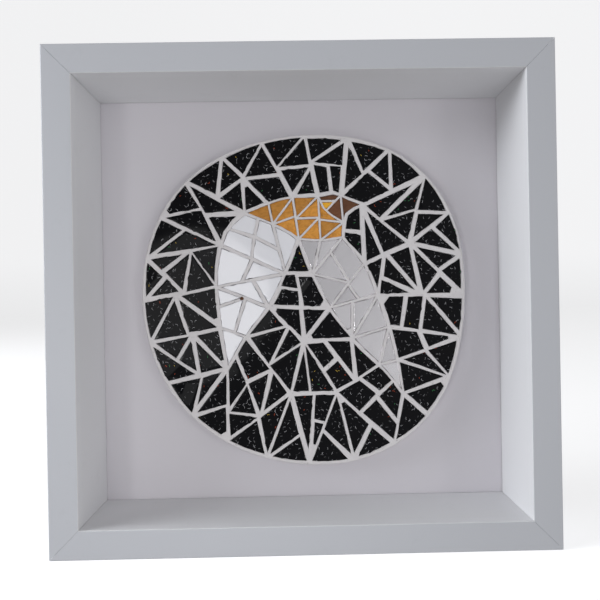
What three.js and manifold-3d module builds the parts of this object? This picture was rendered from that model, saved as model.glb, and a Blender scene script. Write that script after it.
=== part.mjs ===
// A round glass mosaic of a bird in flight, shown in a deep square box frame.
// Millimetres, +Z up. The frame stands on its bottom rail with the origin at the middle of its foot.
// X runs from left to right, and the mosaic faces -Y.
import * as THREE from 'three';
import { mergeVertices } from 'three/addons/utils/BufferGeometryUtils.js';
import Module from 'manifold-3d';

const wasm = await Module();
wasm.setup();

// The frame's driving sizes. Heights are measured forwards from the plane of its rear edges.
const CLEARANCE = 0.3;
const FRAME = { size: 250, depth: 45, face: 14.5, lip: 5, wall: 9, outerRound: 0.8, lipRound: 1.2 };
const SPACER = { thickness: 4.5, depth: 30.4 };
const CARD_THICKNESS = 1.8;
const BOARD_THICKNESS = 3;
const TAB = { width: 10, length: 18, thickness: 0.6, inWall: 5, round: 2 };
const HANGER = { height: 9, thickness: 0.8, rise: 1.9, bridge: 28, foot: 9, belowTop: 24 };
const TOOTH = { pitch: 3.5, depth: 2.2, count: 6 };

// The mosaic's driving sizes. Its disc hangs a little to the right of the frame's middle.
const DISC = { radius: 90.6, shift: 2.6, base: 3, skirt: 1.4, skirtFoot: 0.5, bevel: 0.9 };
const TOP = { black: 7.2, grout: 7, colour: 6.4 };
const RIM_STEPS = 72;
// The hand-sawn rim bulges from a true circle in lobes: how many, how high, and where the first is.
const RIM_LOBES = [
  { count: 2, height: 1, angle: 95 },
  { count: 3, height: 1.8, angle: 50 },
  { count: 4, height: 1.5, angle: 44 },
];

// How each glass is cut: its largest cell, its least and most share of a joint, and how often it is nipped.
const GLASS = {
  black: { cell: 265, joint: [0.5, 1.85], nipped: 0.12 },
  white: { cell: 310, joint: [0.55, 1.2], nipped: 0 },
  mirror: { cell: 230, joint: [0.55, 0.9], nipped: 0.15 },
  gold: { cell: 120, joint: [0.52, 0.7], nipped: 0 },
  brown: { cell: 120, joint: [0.52, 0.7], nipped: 0 },
  amber: { cell: 120, joint: [0.52, 0.6], nipped: 0 },
};
// How the cutter chooses: triangles over four-sided pieces, even halves up to a point, and a little whim.
const FOUR_SIDED_FAVOUR = 0.24;
const MOST_EVEN = 0.4;
const WHIM = [0.75, 1.25];
// How far a cut keeps away from a point, for each joint that already runs to it.
const CROWD_FAVOUR = 0.86;
// Shares of a side where it may be cut: near its middle, or a little further along to take off a corner.
const MIDDLE_CUT = [0.4, 0.6];
const CORNER_CUT = { first: [0.5, 0.65], last: [0.35, 0.5] };
const NIP = [2, 4];
// The share of neighbouring triangles that stay one cell, and the least turn at such a cell's corners.
const PAIRED = 0.75;
const LEAST_TURN = 0.2;
const SIZE_SPREAD = [0.8, 1.15];
const RIM_PARTS = 24;
const CHAIN_STEPS = 3;
const FIELD_SPACING = 23;
const RIM_SPACING = 0.85 * FIELD_SPACING;
const SCATTER_TRIES = 4000;
const SHORTEST_EDGE = 0.25;
const SEED = 28;

// ---------------------------------------------------------------- finishes
const finish = (color, roughness, metalness = 0) =>
  new THREE.MeshStandardMaterial({ color, roughness, metalness });
const FINISH = {
  paint: finish(0xd9dadf, 0.45),
  card: finish(0xdcd9de, 0.85),
  hardboard: finish(0x8a6442, 0.8),
  steel: finish(0xb4b6b8, 0.35, 1),
  grout: finish(0xcfc9c6, 0.9),
  black: finish(0x0b0b0d, 0.12),
  white: finish(0xe4e4ee, 0.1),
  mirror: finish(0xc4c6c8, 0.05, 1),
  gold: finish(0xc98a34, 0.2),
  brown: finish(0x6b3f22, 0.2),
  amber: finish(0xffc040, 0.1),
};

// ---------------------------------------------------------------- solids
function toSolid(geometry) {
  const bare = geometry.clone();
  bare.deleteAttribute('normal');
  bare.deleteAttribute('uv');
  const merged = mergeVertices(bare);
  const vertProperties = new Float32Array(merged.attributes.position.array);
  const triVerts = new Uint32Array(merged.index.array);
  return new wasm.Manifold(new wasm.Mesh({ numProp: 3, vertProperties, triVerts }));
}

function toGeometry(solid) {
  const mesh = solid.getMesh();
  const geometry = new THREE.BufferGeometry();
  geometry.setAttribute('position', new THREE.BufferAttribute(mesh.vertProperties.slice(), 3));
  geometry.setIndex(new THREE.BufferAttribute(mesh.triVerts.slice(), 1));
  geometry.computeVertexNormals();
  return geometry;
}

// A plate with the given outline between two heights, its edges bevelled where a bevel is given.
function plate(outline, low, high, bevel = 0) {
  const geometry = new THREE.ExtrudeGeometry(new THREE.Shape(outline), {
    depth: high - low - 2 * bevel,
    bevelEnabled: bevel > 0,
    bevelThickness: bevel,
    bevelSize: bevel,
    bevelOffset: -bevel,
    bevelSegments: 2,
  });
  return geometry.translate(0, 0, low + bevel);
}

// A closed outline with rounded corners; each corner is [across, up, radius].
function roundedOutline(corners) {
  const shape = new THREE.Shape();
  corners.forEach(([across, up, radius], i) => {
    const corner = new THREE.Vector2(across, up);
    const before = new THREE.Vector2(...corners.at(i - 1));
    const after = new THREE.Vector2(...corners[(i + 1) % corners.length]);
    const arrive = before.sub(corner).setLength(radius).add(corner);
    const leave = after.sub(corner).setLength(radius).add(corner);
    if (i === 0) shape.moveTo(arrive.x, arrive.y);
    else shape.lineTo(arrive.x, arrive.y);
    if (radius > 0) shape.quadraticCurveTo(corner.x, corner.y, leave.x, leave.y);
  });
  return shape;
}

// A strip along the top side of a square, cut to 45 degrees at both ends.
// The section is drawn with its distance from the frame's middle across, and its height up.
function mitredStrip(section) {
  const settings = { depth: 1, bevelEnabled: false, curveSegments: 3 };
  const geometry = new THREE.ExtrudeGeometry(section, settings);
  const position = geometry.attributes.position;
  const endGap = (CLEARANCE / 2) * Math.SQRT2;
  for (let i = 0; i < position.count; i += 1) {
    const across = position.getX(i);
    const height = position.getY(i);
    const end = position.getZ(i) > 0.5 ? 1 : -1;
    position.setXYZ(i, end * (across - endGap), across, height);
  }
  return geometry;
}

// ---------------------------------------------------------------- the frame
const frameHalf = FRAME.size / 2;
const wallInner = frameHalf - FRAME.wall;
const lipInner = frameHalf - FRAME.face;
const lipBack = FRAME.depth - FRAME.lip;
const spacerOuter = wallInner - CLEARANCE;
const spacerFront = lipBack - CLEARANCE;
const spacerBack = spacerFront - SPACER.depth;
const cardFront = spacerBack - CLEARANCE;
const cardBack = cardFront - CARD_THICKNESS;
const boardFront = cardBack - CLEARANCE;
const boardBack = boardFront - BOARD_THICKNESS;
const steelFront = boardBack - CLEARANCE;

function railGeometry() {
  const section = roundedOutline([
    [frameHalf, 0, 0.5],
    [frameHalf, FRAME.depth, FRAME.outerRound],
    [lipInner, FRAME.depth, FRAME.lipRound],
    [lipInner, lipBack, 0.4],
    [wallInner, lipBack, 0],
    [wallInner, 0, 0.5],
  ]);
  const slot = new THREE.BoxGeometry(
    TAB.width + 2 * CLEARANCE,
    2 * (TAB.inWall + CLEARANCE),
    TAB.thickness + 2 * CLEARANCE,
  ).translate(0, wallInner, steelFront - TAB.thickness / 2);
  return toGeometry(toSolid(mitredStrip(section)).subtract(toSolid(slot)));
}

function spacerGeometry() {
  return mitredStrip(roundedOutline([
    [spacerOuter, spacerBack, 0],
    [spacerOuter, spacerFront, 0],
    [spacerOuter - SPACER.thickness, spacerFront, 0],
    [spacerOuter - SPACER.thickness, spacerBack, 0],
  ]));
}

// A strip of soft steel that is pushed into the rail's wall and lies over the back board.
function tabGeometry() {
  const side = TAB.width / 2;
  const sunkEnd = wallInner + TAB.inWall;
  const freeEnd = sunkEnd - TAB.length;
  const outline = roundedOutline([
    [-side, freeEnd, TAB.round],
    [side, freeEnd, TAB.round],
    [side, sunkEnd, 0],
    [-side, sunkEnd, 0],
  ]).getPoints(3);
  return plate(outline, steelFront - TAB.thickness, steelFront);
}

// A strip bent up in its middle, with a row of notches below for the head of a nail.
function hangerGeometry() {
  const reach = HANGER.bridge / 2;
  const bends = [
    [reach + HANGER.foot, 0],
    [reach, 0],
    [reach - HANGER.rise, HANGER.rise],
    [HANGER.rise - reach, HANGER.rise],
    [-reach, 0],
    [-reach - HANGER.foot, 0],
  ];
  const inner = bends.map(([x, rise]) => new THREE.Vector2(x, steelFront - rise));
  const outer = inner.map((bend) => new THREE.Vector2(bend.x, bend.y - HANGER.thickness));
  const profile = new THREE.Shape([...inner, ...outer.reverse()]);
  const strip = new THREE.ExtrudeGeometry(profile, { depth: HANGER.height, bevelEnabled: false });
  strip.rotateX(Math.PI / 2).translate(0, HANGER.height / 2, 0);
  let solid = toSolid(strip);
  const foot = -HANGER.height / 2;
  for (let i = 0; i < TOOTH.count; i += 1) {
    const middle = (i - (TOOTH.count - 1) / 2) * TOOTH.pitch;
    const notch = [
      new THREE.Vector2(middle - TOOTH.pitch / 2, foot - 1),
      new THREE.Vector2(middle + TOOTH.pitch / 2, foot - 1),
      new THREE.Vector2(middle, foot + TOOTH.depth),
    ];
    solid = solid.subtract(toSolid(plate(notch, 0, steelFront)));
  }
  return toGeometry(solid).translate(0, wallInner - HANGER.belowTop, 0);
}

// ---------------------------------------------------------------- the bird
const at = (x, y) => new THREE.Vector2(x, y);
const TAIL = at(-33, 47);
const CROWN = at(7, 55.5);
const BEAK = at(31, 50.5);
const THROAT = at(20.5, 41);
const BREAST = at(20, 33);
const WING_ROOT = at(-4, 32.5);
const WHITE_TIP = at(-44, -38);
const MIRROR_TIP = at(52, -53);
const EYE = at(13, 49);

// Every line of the drawing: the points that it passes, and the number of cuts that it is made of.
const LINES = {
  back: { through: [TAIL, at(-14, 54), at(0, 55.5), CROWN], parts: 3 },
  head: { through: [CROWN, at(16, 57), at(22, 54.5), BEAK], parts: 2 },
  chin: { through: [BEAK, at(23, 46.5), THROAT], parts: 1 },
  cheek: { through: [CROWN, at(11, 47.5), THROAT], parts: 1 },
  breast: { through: [THROAT, BREAST], parts: 1 },
  belly: { through: [BREAST, at(8, 31.5), WING_ROOT], parts: 2 },
  flank: { through: [WING_ROOT, at(-13, 38.5), TAIL], parts: 2 },
  whiteLead: { through: [TAIL, at(-43, 38), at(-48, 22), at(-49, 2), WHITE_TIP], parts: 4 },
  whiteTrail: { through: [WHITE_TIP, at(-33, -20), at(-20, -3), at(-12, 13), WING_ROOT], parts: 4 },
  mirrorLead: { through: [BREAST, at(33, 16), at(41, -6), at(48, -30), MIRROR_TIP], parts: 5 },
  mirrorTrail: {
    through: [MIRROR_TIP, at(40, -38), at(26, -24), at(12, -5), at(3, 14), WING_ROOT],
    parts: 5,
  },
};
const FIELDS = {
  gold: ['back', 'cheek', 'breast', 'belly', 'flank'],
  brown: ['head', 'chin', 'cheek'],
  white: ['whiteLead', 'whiteTrail', 'flank'],
  mirror: ['belly', 'mirrorLead', 'mirrorTrail'],
};

// ---------------------------------------------------------------- cutting the glass
const random = (low, high) => low + (high - low) * THREE.MathUtils.seededRandom();
const chance = (share) => THREE.MathUtils.seededRandom() < share;

function rimPoint(turn, inset) {
  const bulge = RIM_LOBES.reduce((sum, lobe) => {
    const phase = lobe.count * (turn - THREE.MathUtils.degToRad(lobe.angle));
    return sum + lobe.height * Math.cos(phase);
  }, 0);
  const radius = DISC.radius - inset + bulge;
  return at(radius * Math.cos(turn), radius * Math.sin(turn));
}

function rimOutline(inset, steps = RIM_STEPS) {
  return Array.from({ length: steps }, (_, i) => rimPoint((2 * Math.PI * i) / steps, inset));
}

// Splits a fine chain into chains of a few steps each, end to end.
function splitChain(fine) {
  const parts = (fine.length - 1) / CHAIN_STEPS;
  return Array.from({ length: parts }, (_, i) => fine.slice(i * CHAIN_STEPS, (i + 1) * CHAIN_STEPS + 1));
}

// The chains of short steps that a line of the drawing is cut into.
function lineChains({ through, parts }) {
  return splitChain(new THREE.SplineCurve(through).getSpacedPoints(parts * CHAIN_STEPS));
}

function rimChains() {
  const rim = rimOutline(DISC.bevel, RIM_PARTS * CHAIN_STEPS);
  return splitChain([...rim, rim[0]]);
}

const samePoint = (a, b) => a.distanceToSquared(b) < 1e-8;

// The ends of the joints laid so far, which tell how many run to one point.
const jointEnds = [];
const crowdAt = (point) => jointEnds.filter((end) => samePoint(end, point)).length;

// Points scattered over the dark field, no closer to each other or to a line than the spacing.
function scatter(fixed) {
  const points = [...fixed];
  const reach = DISC.radius - RIM_SPACING;
  for (let i = 0; i < SCATTER_TRIES; i += 1) {
    const spot = at(random(-reach, reach), random(-reach, reach));
    const clear = points.every((point) => point.distanceTo(spot) > FIELD_SPACING);
    if (spot.length() < reach && clear && fieldOf(spot) === 'black') points.push(spot);
  }
  return points;
}

// Delaunay triangulation: each new point opens every triangle whose circle holds it.
function triangulate(points) {
  const far = 10 * DISC.radius;
  const all = [...points, at(-far, -far), at(far, -far), at(0, far)];
  const outer = points.length;
  const holds = ([a, b, c], point) => {
    const [p, q, r] = [all[a], all[b], all[c]].map((corner) => corner.clone().sub(point));
    const sum = p.lengthSq() * q.cross(r) + q.lengthSq() * r.cross(p) + r.lengthSq() * p.cross(q);
    return sum > 0;
  };
  let triangles = [[outer, outer + 1, outer + 2]];
  points.forEach((point, index) => {
    const opened = triangles.filter((triangle) => holds(triangle, point));
    const sides = opened.flatMap(([a, b, c]) => [[a, b], [b, c], [c, a]]);
    const border = sides.filter(([a, b]) => !sides.some(([c, d]) => c === b && d === a));
    triangles = triangles.filter((triangle) => !opened.includes(triangle));
    border.forEach(([a, b]) => triangles.push([a, b, index]));
  });
  return triangles.filter((triangle) => triangle.every((corner) => corner < outer));
}

// Whether a point lies inside an outline.
function inside(outline, point) {
  let crossings = 0;
  outline.forEach((a, i) => {
    const b = outline[(i + 1) % outline.length];
    if (a.y > point.y === b.y > point.y) return;
    if (point.x < a.x + ((b.x - a.x) * (point.y - a.y)) / (b.y - a.y)) crossings += 1;
  });
  return crossings % 2 === 1;
}

// The outline of a field, from its lines joined end to end.
function fieldOutline(names) {
  const chains = names.flatMap((name) => lineChains(LINES[name]));
  const outline = [...chains.shift()];
  while (chains.length > 0) {
    const end = outline.at(-1);
    const next = chains.findIndex((chain) => samePoint(chain[0], end) || samePoint(chain.at(-1), end));
    const [chain] = chains.splice(next, 1);
    outline.push(...(samePoint(chain[0], end) ? chain : chain.toReversed()).slice(1));
  }
  return outline.slice(1);
}

const fieldOutlines = Object.entries(FIELDS).map(([name, lines]) => [name, fieldOutline(lines)]);

function fieldOf(point) {
  const field = fieldOutlines.find(([, outline]) => inside(outline, point));
  return field ? field[0] : 'black';
}

// A cell is a ring of sides, and each side is a chain of points from one corner to the next.
const cellOutline = (cell) => cell.flatMap((side) => side.slice(0, -1));
const cellArea = (cell) => THREE.ShapeUtils.area(cellOutline(cell));

function chainLength(chain) {
  return chain.slice(1).reduce((sum, point, i) => sum + point.distanceTo(chain[i]), 0);
}

// Cuts a chain at a share of its length.
function cutChain(chain, share) {
  let left = share * chainLength(chain);
  let i = 0;
  while (left > chain[i].distanceTo(chain[i + 1])) {
    left -= chain[i].distanceTo(chain[i + 1]);
    i += 1;
  }
  const spot = chain[i].clone().add(chain[i + 1].clone().sub(chain[i]).setLength(left));
  return [[...chain.slice(0, i + 1), spot], [spot, ...chain.slice(i + 1)]];
}

// Turns a cell's ring of sides so that the given side comes first.
const turned = (cell, first) => [...cell.slice(first), ...cell.slice(0, first)];

// Cuts a cell from its first side to the corner before its last one.
function cutToCorner([first, ...others]) {
  const [before, after] = cutChain(first, random(...MIDDLE_CUT));
  const spot = before.at(-1);
  const last = others.pop();
  const corner = last[0];
  return [[before, [spot, corner], last], [after, ...others, [corner, spot]]];
}

// Cuts off the corner where a cell's first side meets its last.
function cutOffCorner([first, ...others]) {
  const [near, far] = cutChain(first, random(...CORNER_CUT.first));
  const [farLast, nearLast] = cutChain(others.pop(), random(...CORNER_CUT.last));
  const spot = near.at(-1);
  const facing = nearLast[0];
  return [[near, [spot, facing], nearLast], [far, ...others, farLast, [facing, spot]]];
}

// Cuts a four-sided cell from its first side to the one that faces it.
function cutBetween([first, second, third, fourth]) {
  const [before, after] = cutChain(first, random(...MIDDLE_CUT));
  const [thirdStart, thirdEnd] = cutChain(third, random(...MIDDLE_CUT));
  const spot = before.at(-1);
  const facing = thirdEnd[0];
  return [[before, [spot, facing], thirdEnd, fourth], [after, second, thirdStart, [facing, spot]]];
}

// Cuts a four-sided cell in two from corner to corner.
function cutDiagonal([first, second, third, fourth]) {
  const [start, end] = [first[0], third[0]];
  return [[first, second, [end, start]], [third, fourth, [start, end]]];
}

// How compact a cell is: its area against its greatest width squared. Triangles are favoured.
function compactness(cell) {
  const outline = cellOutline(cell);
  const width = Math.max(...outline.flatMap((a) => outline.map((b) => a.distanceTo(b))));
  const favour = cell.length === 3 ? 1 : FOUR_SIDED_FAVOUR;
  return (favour * cellArea(cell)) / width ** 2;
}

// The joint that a cut opens: the last side of its second part.
const newJoint = ([, second]) => second.at(-1);

// Scores and snaps a cell again and again, always by one of the better cuts, until its pieces are small.
function cutUp(cell, largest) {
  if (cellArea(cell) < largest * random(...SIZE_SPREAD)) return [cell];
  const turns = cell.map((_, i) => turned(cell, i));
  const ways = cell.length === 3 ? [cutToCorner, cutOffCorner] : [cutToCorner, cutBetween, cutDiagonal];
  const cuts = ways.flatMap((way) => turns.map(way));
  const marks = cuts.map((parts) => {
    const evenness = Math.min(...parts.map(cellArea)) / cellArea(cell);
    const crowd = crowdAt(newJoint(parts)[0]) + crowdAt(newJoint(parts)[1]);
    const shapeMark = Math.min(...parts.map(compactness)) * Math.min(evenness, MOST_EVEN);
    return shapeMark * CROWD_FAVOUR ** crowd * random(...WHIM);
  });
  const parts = cuts[marks.indexOf(Math.max(...marks))];
  jointEnds.push(...newJoint(parts));
  return parts.flatMap((part) => cutUp(part, largest));
}

// Whether every corner of a ring of points turns the same way, and by a fair amount.
function isConvex(ring) {
  return ring.every((corner, i) => {
    const arriving = corner.clone().sub(ring.at(i - 1)).normalize();
    const leaving = ring[(i + 1) % ring.length].clone().sub(corner).normalize();
    return arriving.cross(leaving) > LEAST_TURN;
  });
}

// The pairs of neighbouring triangles that would make a convex cell of one glass.
function findPairs(triangles, points, isDrawn) {
  const pairOf = (one, other) => {
    if (one.glass !== other.glass) return [];
    const [a, b, c] = [0, 1, 2].map((turn) => turned(one.corners, turn))
      .find(([from, to]) => other.corners.includes(from) && other.corners.includes(to)) ?? [];
    if (a === undefined || isDrawn(a, b)) return [];
    const opposite = other.corners.find((corner) => corner !== a && corner !== b);
    const ring = [a, opposite, b, c];
    if (!isConvex(ring.map((corner) => points[corner]))) return [];
    return [{ members: [one, other], ring, joint: [a, b] }];
  };
  return triangles.flatMap((one, i) => triangles.slice(i + 1).flatMap((other) => pairOf(one, other)));
}

// Joins most pairs, the most crowded joints first, so that few joints run to the same point.
function pairUp(triangles, points, isDrawn) {
  const crowd = points.map((_, point) => triangles.filter(({ corners }) => corners.includes(point)).length);
  const crowdOf = ({ joint }) => crowd[joint[0]] + crowd[joint[1]];
  let pairs = findPairs(triangles, points, isDrawn);
  let cells = [...triangles];
  while (pairs.length > 0) {
    const pair = pairs.reduce((most, other) => (crowdOf(other) > crowdOf(most) ? other : most));
    pairs.splice(pairs.indexOf(pair), 1);
    if (chance(PAIRED)) {
      const { members, ring, joint } = pair;
      pairs = pairs.filter((other) => !other.members.some((member) => members.includes(member)));
      cells = cells.filter((cell) => !members.includes(cell));
      cells.push({ glass: members[0].glass, corners: ring });
      joint.forEach((end) => { crowd[end] -= 1; });
    }
  }
  return cells;
}

// Every cell of the picture, each with the name of its glass.
function layCells() {
  const chains = [...Object.values(LINES).flatMap(lineChains), ...rimChains()];
  const fixed = [];
  chains.flatMap((chain) => [chain[0], chain.at(-1)]).forEach((end) => {
    if (!fixed.some((point) => samePoint(point, end))) fixed.push(end);
  });
  const points = scatter(fixed);
  const drawnChain = (from, to) => {
    const joins = (chain, a, b) => samePoint(chain[0], points[a]) && samePoint(chain.at(-1), points[b]);
    const reversed = chains.find((chain) => joins(chain, to, from));
    return chains.find((chain) => joins(chain, from, to)) ?? reversed?.toReversed();
  };
  const triangles = triangulate(points).map((corners) => {
    const [a, b, c] = corners.map((corner) => points[corner]);
    return { glass: fieldOf(a.clone().add(b).add(c).divideScalar(3)), corners };
  });
  const cells = pairUp(triangles, points, drawnChain);
  jointEnds.push(...cells.flatMap(({ corners }) => corners.map((corner) => points[corner])));
  return cells.flatMap(({ glass, corners }) => {
    const cell = corners.map((from, i) => {
      const to = corners[(i + 1) % corners.length];
      return drawnChain(from, to) ?? [points[from], points[to]];
    });
    return cutUp(cell, GLASS[glass].cell).map((part) => ({ glass, cell: part }));
  });
}

// The outline left when each side of a cell moves inwards, by one share of the joint at its start
// and by another at its end.
function insetOutline(cell, shares) {
  let edges = cell.flatMap((side, i) => side.slice(1).map((end, j) => {
    const start = side[j];
    const inward = at(start.y - end.y, end.x - start.x).normalize();
    const [shareAtStart, shareAtEnd] = [j, j + 1].map((step) => (
      THREE.MathUtils.lerp(...shares[i], step / (side.length - 1))
    ));
    const insetStart = start.clone().addScaledVector(inward, shareAtStart);
    const insetEnd = end.clone().addScaledVector(inward, shareAtEnd);
    return { start: insetStart, along: insetEnd.sub(insetStart).normalize() };
  }));
  const meet = (edge, next) => {
    const turn = edge.along.cross(next.along);
    if (Math.abs(turn) < 1e-4) return next.start.clone();
    const reach = next.start.clone().sub(edge.start).cross(next.along) / turn;
    return edge.start.clone().addScaledVector(edge.along, reach);
  };
  for (;;) {
    const corners = edges.map((edge, i) => meet(edges.at(i - 1), edge));
    const lengths = edges.map(({ along }, i) => (
      corners[(i + 1) % corners.length].clone().sub(corners[i]).dot(along)
    ));
    const shortest = Math.min(...lengths);
    if (shortest > SHORTEST_EDGE || edges.length <= 3) return corners;
    edges = edges.filter((_, i) => lengths[i] !== shortest);
  }
}

// The part of an outline that lies behind a line.
function trimOutline(outline, spot, outward) {
  const beyond = (point) => point.clone().sub(spot).dot(outward);
  return outline.flatMap((point, i) => {
    const next = outline[(i + 1) % outline.length];
    const [here, there] = [beyond(point), beyond(next)];
    const kept = here <= 0 ? [point] : [];
    if (here > 0 !== there > 0) kept.push(point.clone().lerp(next, here / (here - there)));
    return kept;
  });
}

// The cut that nips off the sharpest corner of an outline.
function nipOf(outline, size) {
  const corners = outline.map((corner, i) => {
    const back = outline.at(i - 1).clone().sub(corner).normalize();
    const ahead = outline[(i + 1) % outline.length].clone().sub(corner).normalize();
    return { corner, outward: back.add(ahead).negate() };
  });
  corners.sort((a, b) => b.outward.length() - a.outward.length());
  const { corner, outward } = corners[0];
  outward.normalize();
  return { spot: corner.clone().addScaledVector(outward, -size), outward };
}

// Sets the eye: a chip cut off the corner of the head that is nearest to its place.
function setEye(cells) {
  const head = cells.filter(({ glass }) => glass === 'gold' || glass === 'brown');
  const corners = head.flatMap((shard) => shard.cell.map((_, i) => ({ shard, ring: turned(shard.cell, i) })));
  const away = ({ ring }) => ring[0][0].distanceTo(EYE);
  const nearest = corners.reduce((best, corner) => (away(corner) < away(best) ? corner : best));
  const [chip, rest] = cutOffCorner(nearest.ring);
  nearest.shard.cell = rest;
  return [...cells, { glass: 'amber', cell: chip }];
}

// The finished shards: the outline of each piece of glass, and of the socket that it sits in.
function makeShards() {
  THREE.MathUtils.seededRandom(SEED);
  return setEye(layCells()).map(({ glass, cell }) => {
    const { joint, nipped } = GLASS[glass];
    const shares = cell.map(() => [random(...joint), random(...joint)]);
    const widerShares = shares.map((ends) => ends.map((share) => share - CLEARANCE));
    const outline = insetOutline(cell, shares);
    const socket = insetOutline(cell, widerShares);
    if (!chance(nipped)) return { glass, outline, socket };
    const { spot, outward } = nipOf(outline, random(...NIP));
    const widerSpot = spot.clone().addScaledVector(outward, CLEARANCE);
    return {
      glass,
      outline: trimOutline(outline, spot, outward),
      socket: trimOutline(socket, widerSpot, outward),
    };
  });
}

// ---------------------------------------------------------------- the mosaic
const shards = makeShards();
const blackShards = shards.filter(({ glass }) => glass === 'black');
const colouredShards = shards.filter(({ glass }) => glass !== 'black');

// The sawn disc with the black shards stuck down on it, as one solid.
function blackMosaicGeometry() {
  const sunk = CLEARANCE;
  const disc = plate(rimOutline(DISC.skirt + CLEARANCE), 0, DISC.base);
  const pieces = blackShards.map(({ outline }) => plate(outline, DISC.base - sunk, TOP.black));
  return toGeometry(wasm.Manifold.union([disc, ...pieces].map(toSolid)));
}

// One slab of grout with a socket for every shard, and a skirt that runs down over the disc's edge.
function groutGeometry() {
  const slab = plate(rimOutline(0), DISC.skirtFoot, TOP.grout, DISC.bevel);
  const bed = DISC.base + CLEARANCE;
  const hollow = plate(rimOutline(DISC.skirt), -1, bed);
  const sockets = shards.map(({ socket }) => plate(socket, bed - CLEARANCE, TOP.grout + 1));
  const cuts = wasm.Manifold.union([hollow, ...sockets].map(toSolid));
  return toGeometry(toSolid(slab).subtract(cuts));
}

// ---------------------------------------------------------------- the whole
function piece(name, geometry, material) {
  const mesh = new THREE.Mesh(geometry, material);
  mesh.name = name;
  return mesh;
}

function buildFrame() {
  const frame = new THREE.Group();
  const repeated = [
    ['rail', railGeometry(), FINISH.paint],
    ['spacer', spacerGeometry(), FINISH.card],
    ['tab', tabGeometry(), FINISH.steel],
  ];
  ['top', 'left', 'bottom', 'right'].forEach((side, quarter) => {
    repeated.forEach(([name, geometry, material]) => {
      const part = piece(`${side}_${name}`, geometry.clone(), material);
      part.rotation.z = (quarter * Math.PI) / 2;
      frame.add(part);
    });
  });
  const square = roundedOutline([
    [-spacerOuter, -spacerOuter, 0],
    [spacerOuter, -spacerOuter, 0],
    [spacerOuter, spacerOuter, 0],
    [-spacerOuter, spacerOuter, 0],
  ]).getPoints();
  frame.add(piece('mount_card', plate(square, cardBack, cardFront), FINISH.card));
  frame.add(piece('back_board', plate(square, boardBack, boardFront), FINISH.hardboard));
  frame.add(piece('sawtooth_hanger', hangerGeometry(), FINISH.steel));
  return frame;
}

function buildMosaic() {
  const mosaic = new THREE.Group();
  mosaic.position.set(DISC.shift, 0, cardFront + CLEARANCE);
  mosaic.add(piece('black_mosaic', blackMosaicGeometry(), FINISH.black));
  mosaic.add(piece('grout', groutGeometry(), FINISH.grout));
  const laid = {};
  colouredShards.forEach(({ glass, outline }) => {
    laid[glass] = (laid[glass] ?? 0) + 1;
    const name = `${glass}_shard_${String(laid[glass]).padStart(2, '0')}`;
    mosaic.add(piece(name, plate(outline, DISC.base + CLEARANCE, TOP.colour), FINISH[glass]));
  });
  return mosaic;
}

// The panel is made lying on its back, then stood up on its bottom rail.
const panel = new THREE.Group();
panel.add(buildFrame(), buildMosaic());
panel.rotation.x = Math.PI / 2;
panel.position.set(0, FRAME.depth / 2, frameHalf);
const group = new THREE.Group();
group.add(panel);

export default group;
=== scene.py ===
"""Dresses a round glass mosaic of a bird in flight, set in a deep white box frame."""

import math
import random
from contextlib import contextmanager

import bmesh
import bpy
from bpy.props import FloatProperty, FloatVectorProperty, IntProperty, PointerProperty
from mathutils import Matrix, Vector


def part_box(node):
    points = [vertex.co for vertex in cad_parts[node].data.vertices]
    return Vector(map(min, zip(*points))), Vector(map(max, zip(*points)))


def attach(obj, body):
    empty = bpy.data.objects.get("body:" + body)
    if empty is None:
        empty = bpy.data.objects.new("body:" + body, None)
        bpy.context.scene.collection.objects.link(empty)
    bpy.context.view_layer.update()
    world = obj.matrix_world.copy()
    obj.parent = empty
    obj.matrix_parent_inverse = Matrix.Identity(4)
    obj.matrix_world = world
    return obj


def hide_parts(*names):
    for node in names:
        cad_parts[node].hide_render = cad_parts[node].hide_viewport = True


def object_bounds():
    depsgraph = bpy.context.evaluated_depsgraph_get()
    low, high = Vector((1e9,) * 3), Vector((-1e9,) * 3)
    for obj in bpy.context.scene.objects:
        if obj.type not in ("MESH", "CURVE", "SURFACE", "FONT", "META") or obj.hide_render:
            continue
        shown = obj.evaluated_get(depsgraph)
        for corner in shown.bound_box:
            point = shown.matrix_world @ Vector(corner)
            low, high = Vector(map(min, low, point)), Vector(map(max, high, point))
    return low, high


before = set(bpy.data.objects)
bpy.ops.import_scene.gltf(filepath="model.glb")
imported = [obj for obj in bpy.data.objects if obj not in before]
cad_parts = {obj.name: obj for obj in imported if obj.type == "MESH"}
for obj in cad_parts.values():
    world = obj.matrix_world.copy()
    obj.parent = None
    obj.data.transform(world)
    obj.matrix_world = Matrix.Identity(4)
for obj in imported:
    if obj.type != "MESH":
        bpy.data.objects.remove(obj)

bl_info = {
    "name": "Mosaic panel",
    "version": (1, 0, 0),
    "blender": (4, 5, 0),
    "location": "3D View > Sidebar > Mosaic",
    "description": "Models and finishes a glass mosaic in a white box frame",
    "category": "Object",
}

MM = 0.001
CAD_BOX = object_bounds()
FRONT = CAD_BOX[0].y
REAR = CAD_BOX[1].y
SIDE = CAD_BOX[1].z - CAD_BOX[0].z
MIDDLE = Vector((0, 0, SIDE / 2))
SIDES = ("bottom", "right", "top", "left")
HAIR = 0.01 * MM  # corners nearer than this are welded
SLACK = 0.02 * MM  # places nearer than this count as the same
GLUE = 0.3 * MM  # the gap between the solids of the glass and of the disc
PURE_WHITE = (1, 1, 1)
DAYLIGHT = (0.93, 0.96, 1.0)
SKYLIGHT = (0.98, 0.985, 1.0)


# ---------------------------------------------------------------- settings
def length(name, description, default):
    """A length, given in millimetres."""
    return FloatProperty(
        name=name, description=description, default=default * MM, unit="LENGTH", precision=5
    )


def place(name, description, default):
    return FloatVectorProperty(name=name, description=description, default=default, unit="LENGTH")


def colour(name, description, default):
    return FloatVectorProperty(
        name=name, description=description, default=default, subtype="COLOR", min=0, max=1
    )


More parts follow.
